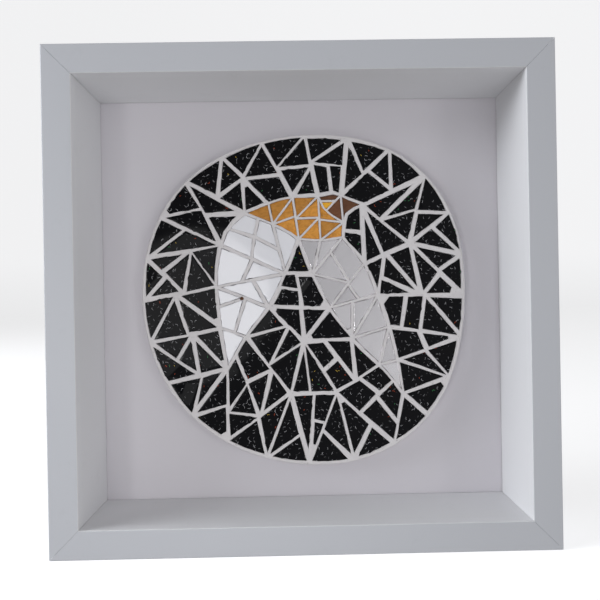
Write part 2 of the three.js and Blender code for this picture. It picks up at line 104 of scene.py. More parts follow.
def power(name, description, default):
    return FloatProperty(name=name, description=description, default=default, unit="POWER")


def plain(name, description, default):
    return FloatProperty(name=name, description=description, default=default)


class FrameSettings(bpy.types.PropertyGroup):
    wall: length("Wall", "Thickness of the rail behind its lip", 9)
    face: length("Face", "Width of the rail seen from the front", 14.5)
    lip: length("Lip", "Depth of the lip that keeps the spacer in", 5)
    outer_round: length("Outer edge", "Rounding of the outer front edge", 0.8)
    lip_round: length("Lip edge", "Rounding of the inner front edge", 0.5)
    heel_round: length("Lip heel", "Rounding of the lip's rear edge", 0.05)
    rear_round: length("Rear edges", "Rounding of the edges at the back", 0.5)
    mitre_gap: length("Mitre gap", "Half of the hairline where two rails meet", 0.03)
    mitre_bevel: length("Mitre bevel", "Wear along the edges of a mitre", 0.05)
    step: length("Step", "How far the strips stand back from the lip", 0.06)
    strip_round: length("Strip edges", "Rounding along the strips", 0.1)
    paint: colour("Paint", "Satin white paint of the rails", (0.6, 0.612, 0.65))
    # The spacers' white is lighter than the rails' paint: partly their own white, partly painted light that
    # brightens the reveal.
    foil: colour("Foil", "Smooth white face of the spacer strips", (0.75, 0.752, 0.765))
    card: colour("Card", "Matt card behind the mosaic", (0.73, 0.705, 0.745))


class BackSettings(bpy.types.PropertyGroup):
    board: colour("Hardboard", "Brown board that closes the back", (0.23, 0.13, 0.065))
    board_round: length("Board edges", "Rounding of the board's edges", 0.3)
    steel: colour("Steel", "Zinc plate on the tabs and the hanger", (0.55, 0.56, 0.57))
    tab_round: length("Tab edges", "Rounding of the tabs' edges", 0.12)
    hanger_round: length("Hanger edges", "Rounding of the hanger's edges", 0.1)
    plate: length("Plate", "Thickness of the hanger's plate", 0.8)
    foot: length("Foot", "How far in from the hanger's end a nail is", 4.5)
    nail: length("Nail head", "Radius of a nail head in the hanger", 1.7)
    nail_height: length("Nail dome", "Height of a nail head", 0.8)


class DiscSettings(bpy.types.PropertyGroup):
    edge_round: length("Edge", "Rounding of the disc's sawn edge", 0.2)
    dark: colour("Dark grain", "Darker grain of the ply", (0.42, 0.27, 0.14))
    pale: colour("Pale grain", "Paler grain of the ply", (0.62, 0.44, 0.26))


class GlassSettings(bpy.types.PropertyGroup):
    bevel: length("Bevel", "Softening of a shard's cut edge", 0.28)
    chip: length("Chips", "Unevenness along a shard's cut edge", 0.2)
    step: length("Chip spacing", "Distance between chips along an edge", 2.2)
    tilt: FloatProperty(
        name="Tilt", description="Most that a shard leans", default=math.radians(0.35), subtype="ANGLE"
    )
    seed: IntProperty(name="Seed", description="Picks another set of tilts and chips", default=5)
    black: colour("Black", "Glitter glass of the ground", (0.0035, 0.0035, 0.0048))
    white: colour("White", "Opal glass of one wing", (0.95, 0.95, 1.0))
    # The silvering's faint lavender tint is painted reflection of the room's tone.
    mirror: colour("Mirror", "Silvering of the other wing", (0.99, 0.965, 0.995))
    gold: colour("Gold", "Streaky glass of the body", (0.74, 0.32, 0.045))
    brown: colour("Brown", "Darker streaky glass of the head", (0.19, 0.068, 0.022))
    amber: colour("Amber", "Bright chip for the eye", (1.0, 0.5, 0.03))
    fleck: length("Fleck spacing", "Distance between flecks of glitter", 2.3)


class GroutSettings(bpy.types.PropertyGroup):
    colour: colour("Grout", "Fine cement between the shards", (0.84, 0.81, 0.82))
    reach: length("Reach", "How far the grout closes up to the glass", 0.24)
    bevel: length("Edge", "Rounding of the grout beside the glass", 0.22)
    ragged: length("Ragged", "Strength of the unevenness of the grout's face", 0.52)
    step: length("Ragged spacing", "Distance between the bumps along an edge", 2.4)
    grain: length("Grain", "Size of the sand in the grout", 0.35)
    crumb: place("Crumb", "Where a brown crumb stuck", (-0.0329, 0.006, 0.1254))
    crumb_size: length("Crumb size", "Half the length of the crumb", 1.3)


class StageSettings(bpy.types.PropertyGroup):
    floor: colour("Floor", "Pale ground under the frame", (0.86, 0.86, 0.87))
    glow: plain("Floor glow", "Light that the floor itself gives the camera", 0.55)
    floor_width: length("Floor width", "From left to right", 36000)
    floor_depth: length("Floor depth", "From front to back", 9000)
    backdrop: length("Backdrop", "How far behind the frame the floor turns up", 5100)
    backdrop_height: length("Backdrop height", "How high it rises", 9000)
    bend: length("Bend", "Size of the bend between floor and backdrop", 600)
    sky: plain("Sky", "Soft light from all round", 0.41)
    sky_right: plain("Sky right", "How much more of it comes from the right", 0.36)
    sky_low: plain("Sky low", "How much more of it comes from below", 0.12)
    window: power("Window", "Broad light from the far left", 11.8)
    pane: power("Pane", "Light that grazes the front from the left", 8.4)
    table: power("Table", "Light thrown back from the near left", 0.24)
    ground: power("Ground", "Light thrown back from the ground in front", 0.038)
    front: power("Front", "Soft light beside the camera, seen in the white glass", 0.13)
    room: power("Room", "Faint light from the right", 1.0)
    camera_place: place("Camera", "Where the camera stands", (-0.0034, -0.2525, 0.12435))
    camera_turn: FloatVectorProperty(
        name="Camera turn",
        description="How the camera is turned",
        default=tuple(math.radians(angle) for angle in (89.94, 1.02, -0.481)),
        subtype="EULER",
    )
    lens: FloatProperty(name="Lens", description="Focal length", default=28.5, unit="CAMERA")


SETTINGS = {
    "panel_frame": FrameSettings,
    "panel_back": BackSettings,
    "panel_disc": DiscSettings,
    "panel_glass": GlassSettings,
    "panel_grout": GroutSettings,
    "panel_stage": StageSettings,
}


# ---------------------------------------------------------------- shader maths
def port(ports, key):
    """A node's socket, by its number, its identifier or its name."""
    if isinstance(key, int):
        return ports[key]
    return next((one for one in ports if one.identifier == key), None) or ports[key]


class Wire:
    """A value between nodes; arithmetic on it adds Math nodes."""

    def __init__(self, tree, socket):
        self.tree = tree
        self.socket = socket

    def math(self, operation, *values):
        return self.tree.add("ShaderNodeMath", {"operation": operation}, dict(enumerate(values)))

    def __add__(self, other):
        return self.math("ADD", self, other)

    def __sub__(self, other):
        return self.math("SUBTRACT", self, other)

    def __mul__(self, other):
        return self.math("MULTIPLY", self, other)

    def __radd__(self, other):
        return self.math("ADD", other, self)

    def __rsub__(self, other):
        return self.math("SUBTRACT", other, self)

    def __rmul__(self, other):
        return self.math("MULTIPLY", other, self)

    def __lt__(self, other):
        return self.math("LESS_THAN", self, other)

    def __gt__(self, other):
        return self.math("GREATER_THAN", self, other)

    def __abs__(self):
        return self.math("ABSOLUTE", self)


class Nodes:
    """A node tree that starts empty."""

    def __init__(self, tree):
        self.tree = tree
        tree.nodes.clear()

    def add(self, kind, settings=None, values=None, output=0):
        """Adds a node with these settings and socket values, and gives back one of its outputs."""
        node = self.tree.nodes.new(kind)
        for key, value in (settings or {}).items():
            setattr(node, key, value)
        for key, value in (values or {}).items():
            socket = port(node.inputs, key)
            if isinstance(value, Wire):
                self.tree.links.new(value.socket, socket)
            else:
                socket.default_value = value
        if output is not None:
            return Wire(self, port(node.outputs, output))

    def other(self, wire, output):
        """Another output of the node that a wire comes from."""
        return Wire(self, port(wire.socket.node.outputs, output))

    def split(self, vector):
        """The three parts of a vector."""
        x = self.add("ShaderNodeSeparateXYZ", None, {0: vector}, "X")
        return x, self.other(x, "Y"), self.other(x, "Z")


class Finish(Nodes):
    """The node tree of one material."""

    def __init__(self, name):
        self.material = bpy.data.materials.new(name)
        self.material.use_nodes = True
        super().__init__(self.material.node_tree)
        self.place = self.add("ShaderNodeTexCoord", output="Object")

    def ramp(self, value, low, high):
        """0 where a value is below low, 1 where it is above high."""
        values = {"Value": value, "From Min": low, "From Max": high, "To Min": 0.0, "To Max": 1.0}
        return self.add("ShaderNodeMapRange", {"clamp": True}, values)

    def mix(self, factor, first, second):
        shades = {"Factor_Float": factor, "A_Color": self.shade(first), "B_Color": self.shade(second)}
        return self.add("ShaderNodeMix", {"data_type": "RGBA"}, shades, "Result_Color")

    @staticmethod
    def shade(value):
        """A colour as a socket takes it."""
        return value if isinstance(value, Wire) else (*value[:3], 1)

    def stretched(self, scale, turn=(0, 0, 0)):
        """The place on the piece, stretched and turned for a pattern that runs one way."""
        return self.add("ShaderNodeMapping", None, {"Vector": self.place, "Scale": scale, "Rotation": turn})

    def vector(self, operation, values, output="Vector"):
        return self.add("ShaderNodeVectorMath", {"operation": operation}, values, output)

    def noise(self, size, detail, roughness=0.5, distortion=0.0, place=None):
        values = {
            "Vector": place or self.place,
            "Scale": 1 / size,
            "Detail": detail,
            "Roughness": roughness,
            "Distortion": distortion,
        }
        return self.add("ShaderNodeTexNoise", None, values, "Fac")

    def bump(self, height, depth, strength):
        values = {"Height": height, "Distance": depth, "Strength": strength}
        return self.add("ShaderNodeBump", None, values, "Normal")

    def shader(self, **values):
        """Closes the tree with a Principled shader whose sockets take these values."""
        named = {key.replace("_", " "): value for key, value in values.items()}
        named["Base Color"] = self.shade(named["Base Color"])
        surface = self.add("ShaderNodeBsdfPrincipled", None, named)
        self.add("ShaderNodeOutputMaterial", None, {"Surface": surface}, None)
        return self.material


def shaded(tone, share):
    """A darker or lighter shade of a colour."""
    return [min(1.0, share * part) for part in tone]


def painted(name, tone, inner=None, opening=0.0):
    """Satin paint: faint clouds, a little grime and a fine orange peel; within the opening the lip's inner
    side takes another, lighter tone, which is painted light.
    """
    finish = Finish(name)
    clouds = finish.noise(60 * MM, 3.0)
    grime = finish.ramp(finish.noise(9 * MM, 5.0, 0.65), 0.6, 0.78)
    shade = finish.mix(clouds * 0.35, tone, shaded(tone, 0.93))
    # Painted light: the lip's inner side, inside the opening, is coloured the spacers' lighter white, as if
    # lit like the reveal.
    if inner:
        x, _, z = finish.split(finish.place)
        inside = (abs(x) < opening) * (abs(z - MIDDLE.z) < opening)
        shade = finish.mix(inside, shade, inner)
    shade = finish.mix(grime * 0.12, shade, shaded(tone, 0.72))
    peel = finish.noise(0.9 * MM, 2.0)
    grain = finish.noise(0.22 * MM, 2.0)
    relief = finish.bump(peel * 0.7 + grain * 0.3, 0.03 * MM, 0.6)
    gloss = 0.4 + 0.12 * clouds + 0.15 * grime
    return finish.shader(Base_Color=shade, Roughness=gloss, Normal=relief)


def card_finish(tone):
    """Matt card: short paper fibres and soft clouds."""
    finish = Finish("mount card")
    clouds = finish.noise(45 * MM, 2.0)
    fibres = finish.noise(0.35 * MM, 4.0, 0.7, 1.5)
    shade = finish.mix(clouds * 0.4, tone, shaded(tone, 0.95))
    shade = finish.mix(fibres * 0.12, shade, shaded(tone, 0.82))
    relief = finish.bump(fibres, 0.04 * MM, 0.5)
    return finish.shader(Base_Color=shade, Roughness=0.85 + 0.1 * fibres, Normal=relief)


def hardboard_finish(tone):
    """Pressed brown board: matted fibres, with a few pale ones."""
    finish = Finish("hardboard")
    mat = finish.noise(1.1 * MM, 6.0, 0.7, 2.0)
    blotches = finish.noise(25 * MM, 3.0)
    pale = finish.ramp(finish.noise(0.5 * MM, 3.0, 0.6, 3.0, finish.stretched((1, 1, 0.3))), 0.62, 0.72)
    shade = finish.mix(mat, shaded(tone, 0.62), shaded(tone, 1.3))
    shade = finish.mix(blotches * 0.4, shade, shaded(tone, 0.8))
    shade = finish.mix(pale * 0.4, shade, (0.5, 0.35, 0.2))
    relief = finish.bump(mat, 0.12 * MM, 0.7)
    return finish.shader(Base_Color=shade, Roughness=0.62 + 0.2 * mat, Normal=relief)


def steel_finish(tone):
    """Thin zinc plate: brushed one way, with dull patches."""
    finish = Finish("zinc plate")
    brushed = finish.noise(0.3 * MM, 3.0, 0.6, 0.0, finish.stretched((0.06, 1, 1)))
    dull = finish.noise(5 * MM, 4.0, 0.6)
    shade = finish.mix(dull * 0.5, tone, shaded(tone, 0.72))
    gloss = 0.22 + 0.18 * dull + 0.1 * brushed
    relief = finish.bump(brushed, 0.02 * MM, 0.5)
    return finish.shader(Base_Color=shade, Roughness=gloss, Metallic=1.0, Normal=relief)


def sawn_wood_finish(dark, pale):
    """Pale ply for the disc under the mosaic."""
    finish = Finish("sawn ply")
    rings = finish.noise(2 * MM, 5.0, 0.6, 1.0, finish.stretched((0.08, 1, 1)))
    shade = finish.mix(rings, dark, pale)
    relief = finish.bump(rings, 0.08 * MM, 0.6)
    return finish.shader(Base_Color=shade, Roughness=0.7 + 0.15 * rings, Normal=relief)


def grout_finish(tone, grain, crumb, crumb_size):
    """Wiped cement: sandy, with tiny pits darkened by painted shade, slightly greyer patches and one brown
    crumb.
    """
    finish = Finish("grout")
    patches = finish.noise(12 * MM, 4.0, 0.6)
    sand = finish.noise(grain, 4.0, 0.7)
    pits = finish.ramp(finish.noise(1.1 * MM, 3.0, 0.6), 0.66, 0.72)
    shade = finish.mix(patches * 0.6, tone, shaded(tone, 0.84))
    shade = finish.mix(sand * 0.25, shade, shaded(tone, 0.75))
    # The pits are darkened in colour: painted shade inside them.
    shade = finish.mix(pits * 0.45, shade, shaded(tone, 0.5))
    away = finish.vector("DISTANCE", {0: finish.place, 1: crumb}, "Value")
    stuck = 1 - finish.ramp(away + 0.6 * crumb_size * sand, crumb_size, 1.2 * crumb_size)
    shade = finish.mix(stuck, shade, (0.13, 0.06, 0.03))
    relief = finish.bump(sand - 1.5 * pits + 2 * stuck, 0.16 * MM, 0.9)
    return finish.shader(Base_Color=shade, Roughness=0.82 + 0.12 * sand, Normal=relief)


def waves(finish, size=9 * MM, depth=0.05 * MM):
    """The slow waves in a sheet of hand-rolled glass."""
    return finish.bump(finish.noise(size, 1.0), depth, 0.8)


def glitter_finish(tone, spacing):
    """Black glass with short curled flecks of glitter, one or none in a cell, and a few of them tinted; each
    fleck's shade from dull to bright is a painted glint.
    """
    finish = Finish("black glitter glass")
    x, _, z = finish.split(finish.place)
    flat = finish.add("ShaderNodeCombineXYZ", None, {"X": x, "Y": z}, "Vector")
    here = finish.vector("SCALE", {0: flat, "Scale": 1 / spacing})
    cells = finish.add(
        "ShaderNodeTexVoronoi",
        {"voronoi_dimensions": "2D", "feature": "F1"},
        {"Vector": here, "Scale": 1.0, "Randomness": 1.0},
        "Position",
    )
    offset = finish.vector("SUBTRACT", {0: here, 1: cells})
    lot = finish.add("ShaderNodeSeparateColor", None, {0: finish.other(cells, "Color")}, "Red")
    chance, shape = finish.other(lot, "Green"), finish.other(lot, "Blue")
    turned = finish.add(
        "ShaderNodeVectorRotate",
        {"rotation_type": "Z_AXIS"},
        {"Vector": offset, "Angle": lot * (4 * math.pi)},
        "Vector",
    )
    along, across, _ = finish.split(turned)
    curl = (shape - 0.5) * 3.6
    bowed = abs(across - curl * along * along + 0.05)
    reach = 0.13 + 0.22 * shape
    fleck = (abs(along) < reach) * (bowed < 0.024 + 0.022 * chance) * (chance > 0.36)
    # The flecks are real; their random shades from dull to bright are painted glints, each as if catching
    # the light at its own angle.
    dull, glinting_fleck = (0.06, 0.06, 0.063), (0.62, 0.62, 0.65)
    rust, green, yellow = (0.5, 0.07, 0.02), (0.06, 0.3, 0.1), (0.65, 0.45, 0.06)
    glitter = finish.mix(shape * shape, dull, glinting_fleck)
    for rarity, tint in ((0.972, rust), (0.984, green), (0.992, yellow)):
        glitter = finish.mix(chance > rarity, glitter, tint)
    shade = finish.mix(fleck, tone, glitter)
    return finish.shader(
        Base_Color=shade, Roughness=0.07 + 0.3 * fleck, Specular_IOR_Level=0.14, Normal=waves(finish)
    )


def opal_finish(name, tone):
    """White glass with faint milky clouds."""
    finish = Finish(name)
    milk = finish.noise(14 * MM, 3.0, 0.5, 1.0)
    shade = finish.mix(milk * 0.3, tone, shaded(tone, 0.9))
    gloss = 0.08 + 0.08 * milk
    return finish.shader(
        Base_Color=shade,
        Roughness=gloss,
        Specular_IOR_Level=1.0,
        Coat_Weight=1.0,
        Coat_Roughness=0.04,
        Normal=waves(finish),
    )


def mirror_finish(name, tone):
    """Silvered glass with faint smears."""
    finish = Finish(name)
    smears = finish.ramp(finish.noise(8 * MM, 4.0, 0.6, 0.6), 0.5, 0.8)
    shade = finish.mix(smears * 0.3, tone, shaded(tone, 0.8))
    gloss = 0.03 + 0.1 * smears
    relief = waves(finish, 14 * MM, 0.03 * MM)
    return finish.shader(Base_Color=shade, Roughness=gloss, Metallic=0.8, Normal=relief)


def streaky_finish(name, tone):
    """Coloured glass with long wisps of a darker and a lighter shade."""
    dark = [0.72 * tone[0], 0.64 * tone[1], 0.55 * tone[2]]
    light = [min(1.0, 1.1 * tone[0] + 0.03), min(1.0, 1.2 * tone[1] + 0.02), 1.6 * tone[2] + 0.01]
    finish = Finish(name)
    along = finish.stretched((0.6, 1, 1), (0, math.radians(35), 0))
    wisps = finish.noise(4 * MM, 2.0, 0.5, 2.2, along)
    threads = finish.noise(2 * MM, 2.0, 0.5, 1.2, along)
    shade = finish.mix(finish.ramp(wisps, 0.42, 0.72) * 0.8, tone, dark)
    shade = finish.mix(finish.ramp(threads, 0.5, 0.75) * 0.6, shade, light)
    return finish.shader(
        Base_Color=shade,
        Roughness=0.12 + 0.1 * wisps,
        Coat_Weight=0.15,
        Coat_Roughness=0.04,
        Normal=waves(finish),
    )


# ---------------------------------------------------------------- modelling help
def leave_all():
    """Goes back to object mode with nothing selected."""
    if bpy.context.object and bpy.context.object.mode != "OBJECT":
        bpy.ops.object.mode_set(mode="OBJECT")
    bpy.ops.object.select_all(action="DESELECT")


def take(piece):
    leave_all()
    piece.select_set(True)
    bpy.context.view_layer.objects.active = piece


@contextmanager
def editing(piece, kind="FACE"):
    """Edit mode on one piece, with nothing on it selected."""
    take(piece)
    bpy.ops.object.mode_set(mode="EDIT")
    bpy.ops.mesh.select_mode(type=kind)
    bpy.ops.mesh.select_all(action="DESELECT")
    yield
    bpy.ops.object.mode_set(mode="OBJECT")


def pick(piece, kind, wanted):
    """Selects the faces, edges or verts of a piece in edit mode that pass a test, and no others."""
    mesh = bmesh.from_edit_mesh(piece.data)
    bpy.ops.mesh.select_mode(type={"faces": "FACE", "edges": "EDGE", "verts": "VERT"}[kind])
    bpy.ops.mesh.select_all(action="DESELECT")
    mesh.normal_update()
    found = 0
    for part in getattr(mesh, kind):
        if wanted(part):
            part.select_set(True)
            found += 1
    bmesh.update_edit_mesh(piece.data)
    return found


def all_at(edge, test):
    return all(test(corner.co) for corner in edge.verts)


def is_sharp(edge):
    return edge.calc_face_angle(0) > 1


def near(value, target, slack=SLACK):
    return abs(value - target) < slack


def place_of(face):
    return face.calc_center_median()


def named(name):
    """The new primitive, under the name of its piece."""
    piece = bpy.context.object
    piece.name = name
    piece.data.name = name
    return piece


def box_piece(name, low, high):
    """A box between two corners, with its place in its mesh."""
    leave_all()
    low, high = Vector(low), Vector(high)
    bpy.ops.mesh.primitive_cube_add(size=1, location=(low + high) / 2, scale=high - low)
    piece = named(name)
    bpy.ops.object.transform_apply(location=True, rotation=True, scale=True)
    return piece


def copy_of(original, name):
    """A copy with its own mesh, and none of the marks of the original."""
    mesh = original.data.copy()
    mesh.name = name
    mesh.materials.clear()
    piece = bpy.data.objects.new(name, mesh)
    bpy.context.scene.collection.objects.link(piece)
    return piece


def copy_of_node(node, name):
    """A copy of a CAD solid, welded and with its flat faces whole again."""
    piece = copy_of(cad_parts[node], name)
    take(piece)
    bpy.ops.mesh.customdata_custom_splitnormals_clear()
    with editing(piece, "VERT"):
        bpy.ops.mesh.select_all(action="SELECT")
        bpy.ops.mesh.remove_doubles(threshold=HAIR)
        bpy.ops.mesh.dissolve_limited(angle_limit=math.radians(0.8))
    return piece


def use(piece, kind, **settings):
    """Adds a modifier and applies it."""
    take(piece)
    modifier = piece.modifiers.new(kind.title(), kind)
    for key, value in settings.items():
        setattr(modifier, key, value)
    bpy.ops.object.modifier_apply(modifier=modifier.name)


def bevel_edges(piece, wanted, width, segments):
    """Rounds the edges that pass a test."""
    with editing(piece, "EDGE"):
        if not pick(piece, "edges", wanted):
            raise RuntimeError(f"{piece.name} has no edge to round")
        bpy.ops.mesh.bevel(offset=width, offset_type="OFFSET", segments=segments, clamp_overlap=False)


def smooth(piece, angle=40):
    """Smooth shading over rounded edges, with the flat faces kept flat."""
    take(piece)
    bpy.ops.object.shade_smooth_by_angle(angle=math.radians(angle))
    use(piece, "WEIGHTED_NORMAL", keep_sharp=True, weight=80)


def finished(piece, material, slot, *nodes):
    """Gives a piece its finish and hangs it on the body."""
    piece.data.materials.clear()
    piece.data.materials.append(material)
    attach(piece, "root")
    if nodes:
        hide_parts(*nodes)
    leave_all()


def disc_face():
    """How far back the face of the sawn disc is."""
    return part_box("mirror_shard_01")[1].y + GLUE


def halve_long(piece, wanted, spacing):
    """Halves the edges that pass a test until few are much longer than the spacing."""
    for _ in range(4):
        if not pick(piece, "edges", lambda edge: wanted(edge) and edge.calc_length() > 1.6 * spacing):
            break
        bpy.ops.mesh.subdivide(number_cuts=1)


def quarter_turn(piece, turns):
    """Turns a piece about the frame's middle, with its new place in its mesh."""
    take(piece)
    turn = Matrix.Rotation(-turns * math.pi / 2, 4, "Y")
    piece.matrix_world = Matrix.Translation(MIDDLE) @ turn @ Matrix.Translation(-MIDDLE)
    bpy.context.view_layer.update()
    bpy.ops.object.transform_apply(location=True, rotation=True, scale=True)


def cut_mitres(piece, gap):
    """Cuts both ends of a bottom strip to 45 degrees."""
    for way in (-1, 1):
        with editing(piece, "FACE"):
            bpy.ops.mesh.select_all(action="SELECT")
            bpy.ops.mesh.bisect(
                plane_co=(way * (SIDE / 2 - gap * math.sqrt(2)), 0, 0),
                plane_no=(way, 0, 1),
                use_fill=True,
                clear_outer=True,
                threshold=HAIR,
            )


def is_mitre(edge):
    """An edge round the cut end of a bottom strip."""
    reach = 0.3 * MM

    def at_cut(corner, way):
        return near(way * corner.co.x, SIDE / 2 - corner.co.z, reach)

    return any(all(at_cut(corner, way) for corner in edge.verts) for way in (-1, 1))


def lay_round(strip, material, kind, slot):
    """Copies a bottom strip to the other three sides."""
    strips = [strip] + [copy_of(strip, f"{side}_frame_{kind}") for side in SIDES[1:]]
    for turns, (side, one) in enumerate(zip(SIDES, strips)):
        quarter_turn(one, turns)
        smooth(one)
        finished(one, material, slot, f"{side}_{kind}")


def roughen(shard, glass, seed):
    """Adds chips to the edge of a shard's face, and rounds it."""
    face_y = min(corner.co.y for corner in shard.data.vertices)

    def on_face(edge):
        return all_at(edge, lambda co: near(co.y, face_y))

    with editing(shard, "EDGE"):
        halve_long(shard, on_face, glass.step)
        pick(shard, "verts", lambda corner: near(corner.co.y, face_y))
        bpy.ops.transform.vertex_random(offset=glass.chip, uniform=1.0, normal=0.0, seed=seed)
        bpy.ops.transform.resize(value=(1, 0, 1), center_override=(0, face_y, 0))
        pick(shard, "edges", on_face)
        bpy.ops.mesh.bevel(offset=glass.bevel, segments=2, clamp_overlap=False)
        bpy.ops.mesh.select_all(action="SELECT")
        bpy.ops.mesh.remove_doubles(threshold=HAIR)
        bpy.ops.mesh.dissolve_degenerate(threshold=HAIR)
        bpy.ops.mesh.select_all(action="SELECT")
        bpy.ops.mesh.fill_holes(sides=0)


def lumps(piece):
    """The numbers of the corners of each separate lump of a piece in edit mode."""
    found = []
    seen = set()
    for start in bmesh.from_edit_mesh(piece.data).verts:
        if start in seen:
            continue
        seen.add(start)
        lump = [start]
        for corner in lump:
            ends = {edge.other_vert(corner) for edge in corner.link_edges}
            lump.extend(ends - seen)
            seen |= ends
        found.append(sorted(corner.index for corner in lump))
    return sorted(found)


def lean(shards, glass):
    """Lets each shard of a piece lean its own way, as it was pressed down."""
    chooser = random.Random(glass.seed)
    with editing(shards, "VERT"):
        for lump in lumps(shards):
            bpy.ops.mesh.select_all(action="DESELECT")
            mesh = bmesh.from_edit_mesh(shards.data)
            mesh.verts.ensure_lookup_table()
            corners = [mesh.verts[number] for number in lump]
            for corner in corners:
                corner.select_set(True)
            middle = sum((corner.co for corner in corners), Vector()) / len(corners)
            for axis in "XZ":
                turn = -chooser.uniform(-1, 1) * glass.tilt
                bpy.ops.transform.rotate(value=turn, orient_axis=axis, center_override=middle)


# ---------------------------------------------------------------- operators
class MOSAIC_OT_rails(bpy.types.Operator):
    """Make the four mitred rails"""

    bl_idname = "mosaic.rails"
    bl_label = "Rails"
    bl_options = {"REGISTER", "UNDO"}

    def execute(self, context):
        sizes = context.scene.panel_frame
        lip_back = FRONT + sizes.lip
        rail = box_piece("bottom_frame_rail", (-SIDE / 2, FRONT, 0), (SIDE / 2, REAR, sizes.wall))
        with editing(rail):
            bpy.ops.mesh.select_all(action="SELECT")
            bpy.ops.mesh.bisect(plane_co=(0, lip_back, 0), plane_no=(0, 1, 0))
            pick(rail, "faces", lambda face: face.normal.z > 0.9 and place_of(face).y < lip_back)
            bpy.ops.mesh.extrude_region_move(
                TRANSFORM_OT_translate={"value": (0, 0, sizes.face - sizes.wall)}
            )
        cut_mitres(rail, sizes.mitre_gap)

        def runs_along(y, z):
            return lambda edge: all_at(edge, lambda co: near(co.y, y) and near(co.z, z))

        bevel_edges(rail, runs_along(FRONT, 0), sizes.outer_round, 3)
        bevel_edges(rail, runs_along(FRONT, sizes.face), sizes.lip_round, 4)
        bevel_edges(rail, runs_along(lip_back, sizes.face), sizes.heel_round, 1)
        bevel_edges(rail, runs_along(REAR, 0), sizes.rear_round, 2)
        bevel_edges(rail, runs_along(REAR, sizes.wall), sizes.rear_round, 2)
        bevel_edges(rail, is_mitre, sizes.mitre_bevel, 1)
        # The lip's inner side inside this opening gets the spacers' lighter white, which is painted light.
        opening = SIDE / 2 - sizes.face + sizes.lip_round / 2
        paint = painted("white paint", sizes.paint, sizes.foil, opening)
        lay_round(rail, paint, "rail", "frame_paint")
        return {"FINISHED"}


class MOSAIC_OT_spacers(bpy.types.Operator):
    """Make the four strips inside the frame"""

    bl_idname = "mosaic.spacers"
    bl_label = "Spacers"
    bl_options = {"REGISTER", "UNDO"}

    def execute(self, context):
        sizes = context.scene.panel_frame
        low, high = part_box("bottom_spacer")
        front = FRONT + sizes.lip + sizes.step / 2
        top = sizes.face - sizes.step
        strip = box_piece("bottom_frame_spacer", (-SIDE / 2, front, low.z), (SIDE / 2, high.y, top))
        cut_mitres(strip, sizes.mitre_gap)
        bevel_edges(strip, lambda edge: not is_mitre(edge), sizes.strip_round, 2)
        bevel_edges(strip, is_mitre, sizes.mitre_bevel, 1)
        # The foil's lighter white is partly the strips' own white, partly painted light on the reveal.
        lay_round(strip, painted("white foil", sizes.foil), "spacer", "spacer_card")
        return {"FINISHED"}


class MOSAIC_OT_card(bpy.types.Operator):
    """Finish the card behind the mosaic"""

    bl_idname = "mosaic.card"
    bl_label = "Mount card"
    bl_options = {"REGISTER", "UNDO"}

    def execute(self, context):
        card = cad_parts["mount_card"]
        card.data.materials.clear()
        card.data.materials.append(card_finish(context.scene.panel_frame.card))
        return {"FINISHED"}


class MOSAIC_OT_back(bpy.types.Operator):
    """Make the board, the tabs and the hanger at the back"""

    bl_idname = "mosaic.back"
    bl_label = "Back"
    bl_options = {"REGISTER", "UNDO"}

    def execute(self, context):
        sizes = context.scene.panel_back
        low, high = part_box("back_board")
        board = box_piece("hardboard_back", low, high)
        bevel_edges(board, lambda edge: True, sizes.board_round, 2)
        smooth(board)
        finished(board, hardboard_finish(sizes.board), "hardboard", "back_board")
        steel = steel_finish(sizes.steel)
        for side in SIDES:
            tab = copy_of_node(f"{side}_tab", f"{side}_point")
            bevel_edges(tab, is_sharp, sizes.tab_round, 2)
            smooth(tab)
            finished(tab, steel, "steel", f"{side}_tab")
        hanger = copy_of_node("sawtooth_hanger", "toothed_hanger")
        bevel_edges(hanger, is_sharp, sizes.hanger_round, 1)
        low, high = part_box("sawtooth_hanger")
        for x in (low.x + sizes.foot, high.x - sizes.foot):
            self.nail(hanger, Vector((x, low.y + sizes.plate, (low.z + high.z) / 2)), sizes)
        smooth(hanger)
        finished(hanger, steel, "steel", "sawtooth_hanger")
        return {"FINISHED"}

    @staticmethod
    def nail(hanger, place, sizes):
        """Adds a domed nail head to the hanger's foot."""
        leave_all()
        sides = 20
        bpy.ops.mesh.primitive_circle_add(vertices=sides, radius=sizes.nail, fill_type="NGON")
        head = named("nail_head")
        with editing(head):
            for inset, rise in ((0.15, 1 / 2), (0.4, 1 / 3), (0.5, 1 / 6)):
                pick(head, "faces", lambda face: len(face.verts) == sides)
                bpy.ops.mesh.extrude_region_move(
                    TRANSFORM_OT_translate={"value": (0, 0, rise * sizes.nail_height)}
                )
                bpy.ops.mesh.inset(thickness=inset * MM)
            bpy.ops.mesh.select_all(action="SELECT")
            bpy.ops.mesh.normals_make_consistent(inside=False)
        head.rotation_euler = (-math.pi / 2, 0, 0)
        head.location = place
        bpy.ops.object.transform_apply(location=True, rotation=True, scale=True)
        take(hanger)
        head.select_set(True)
        bpy.ops.object.join()


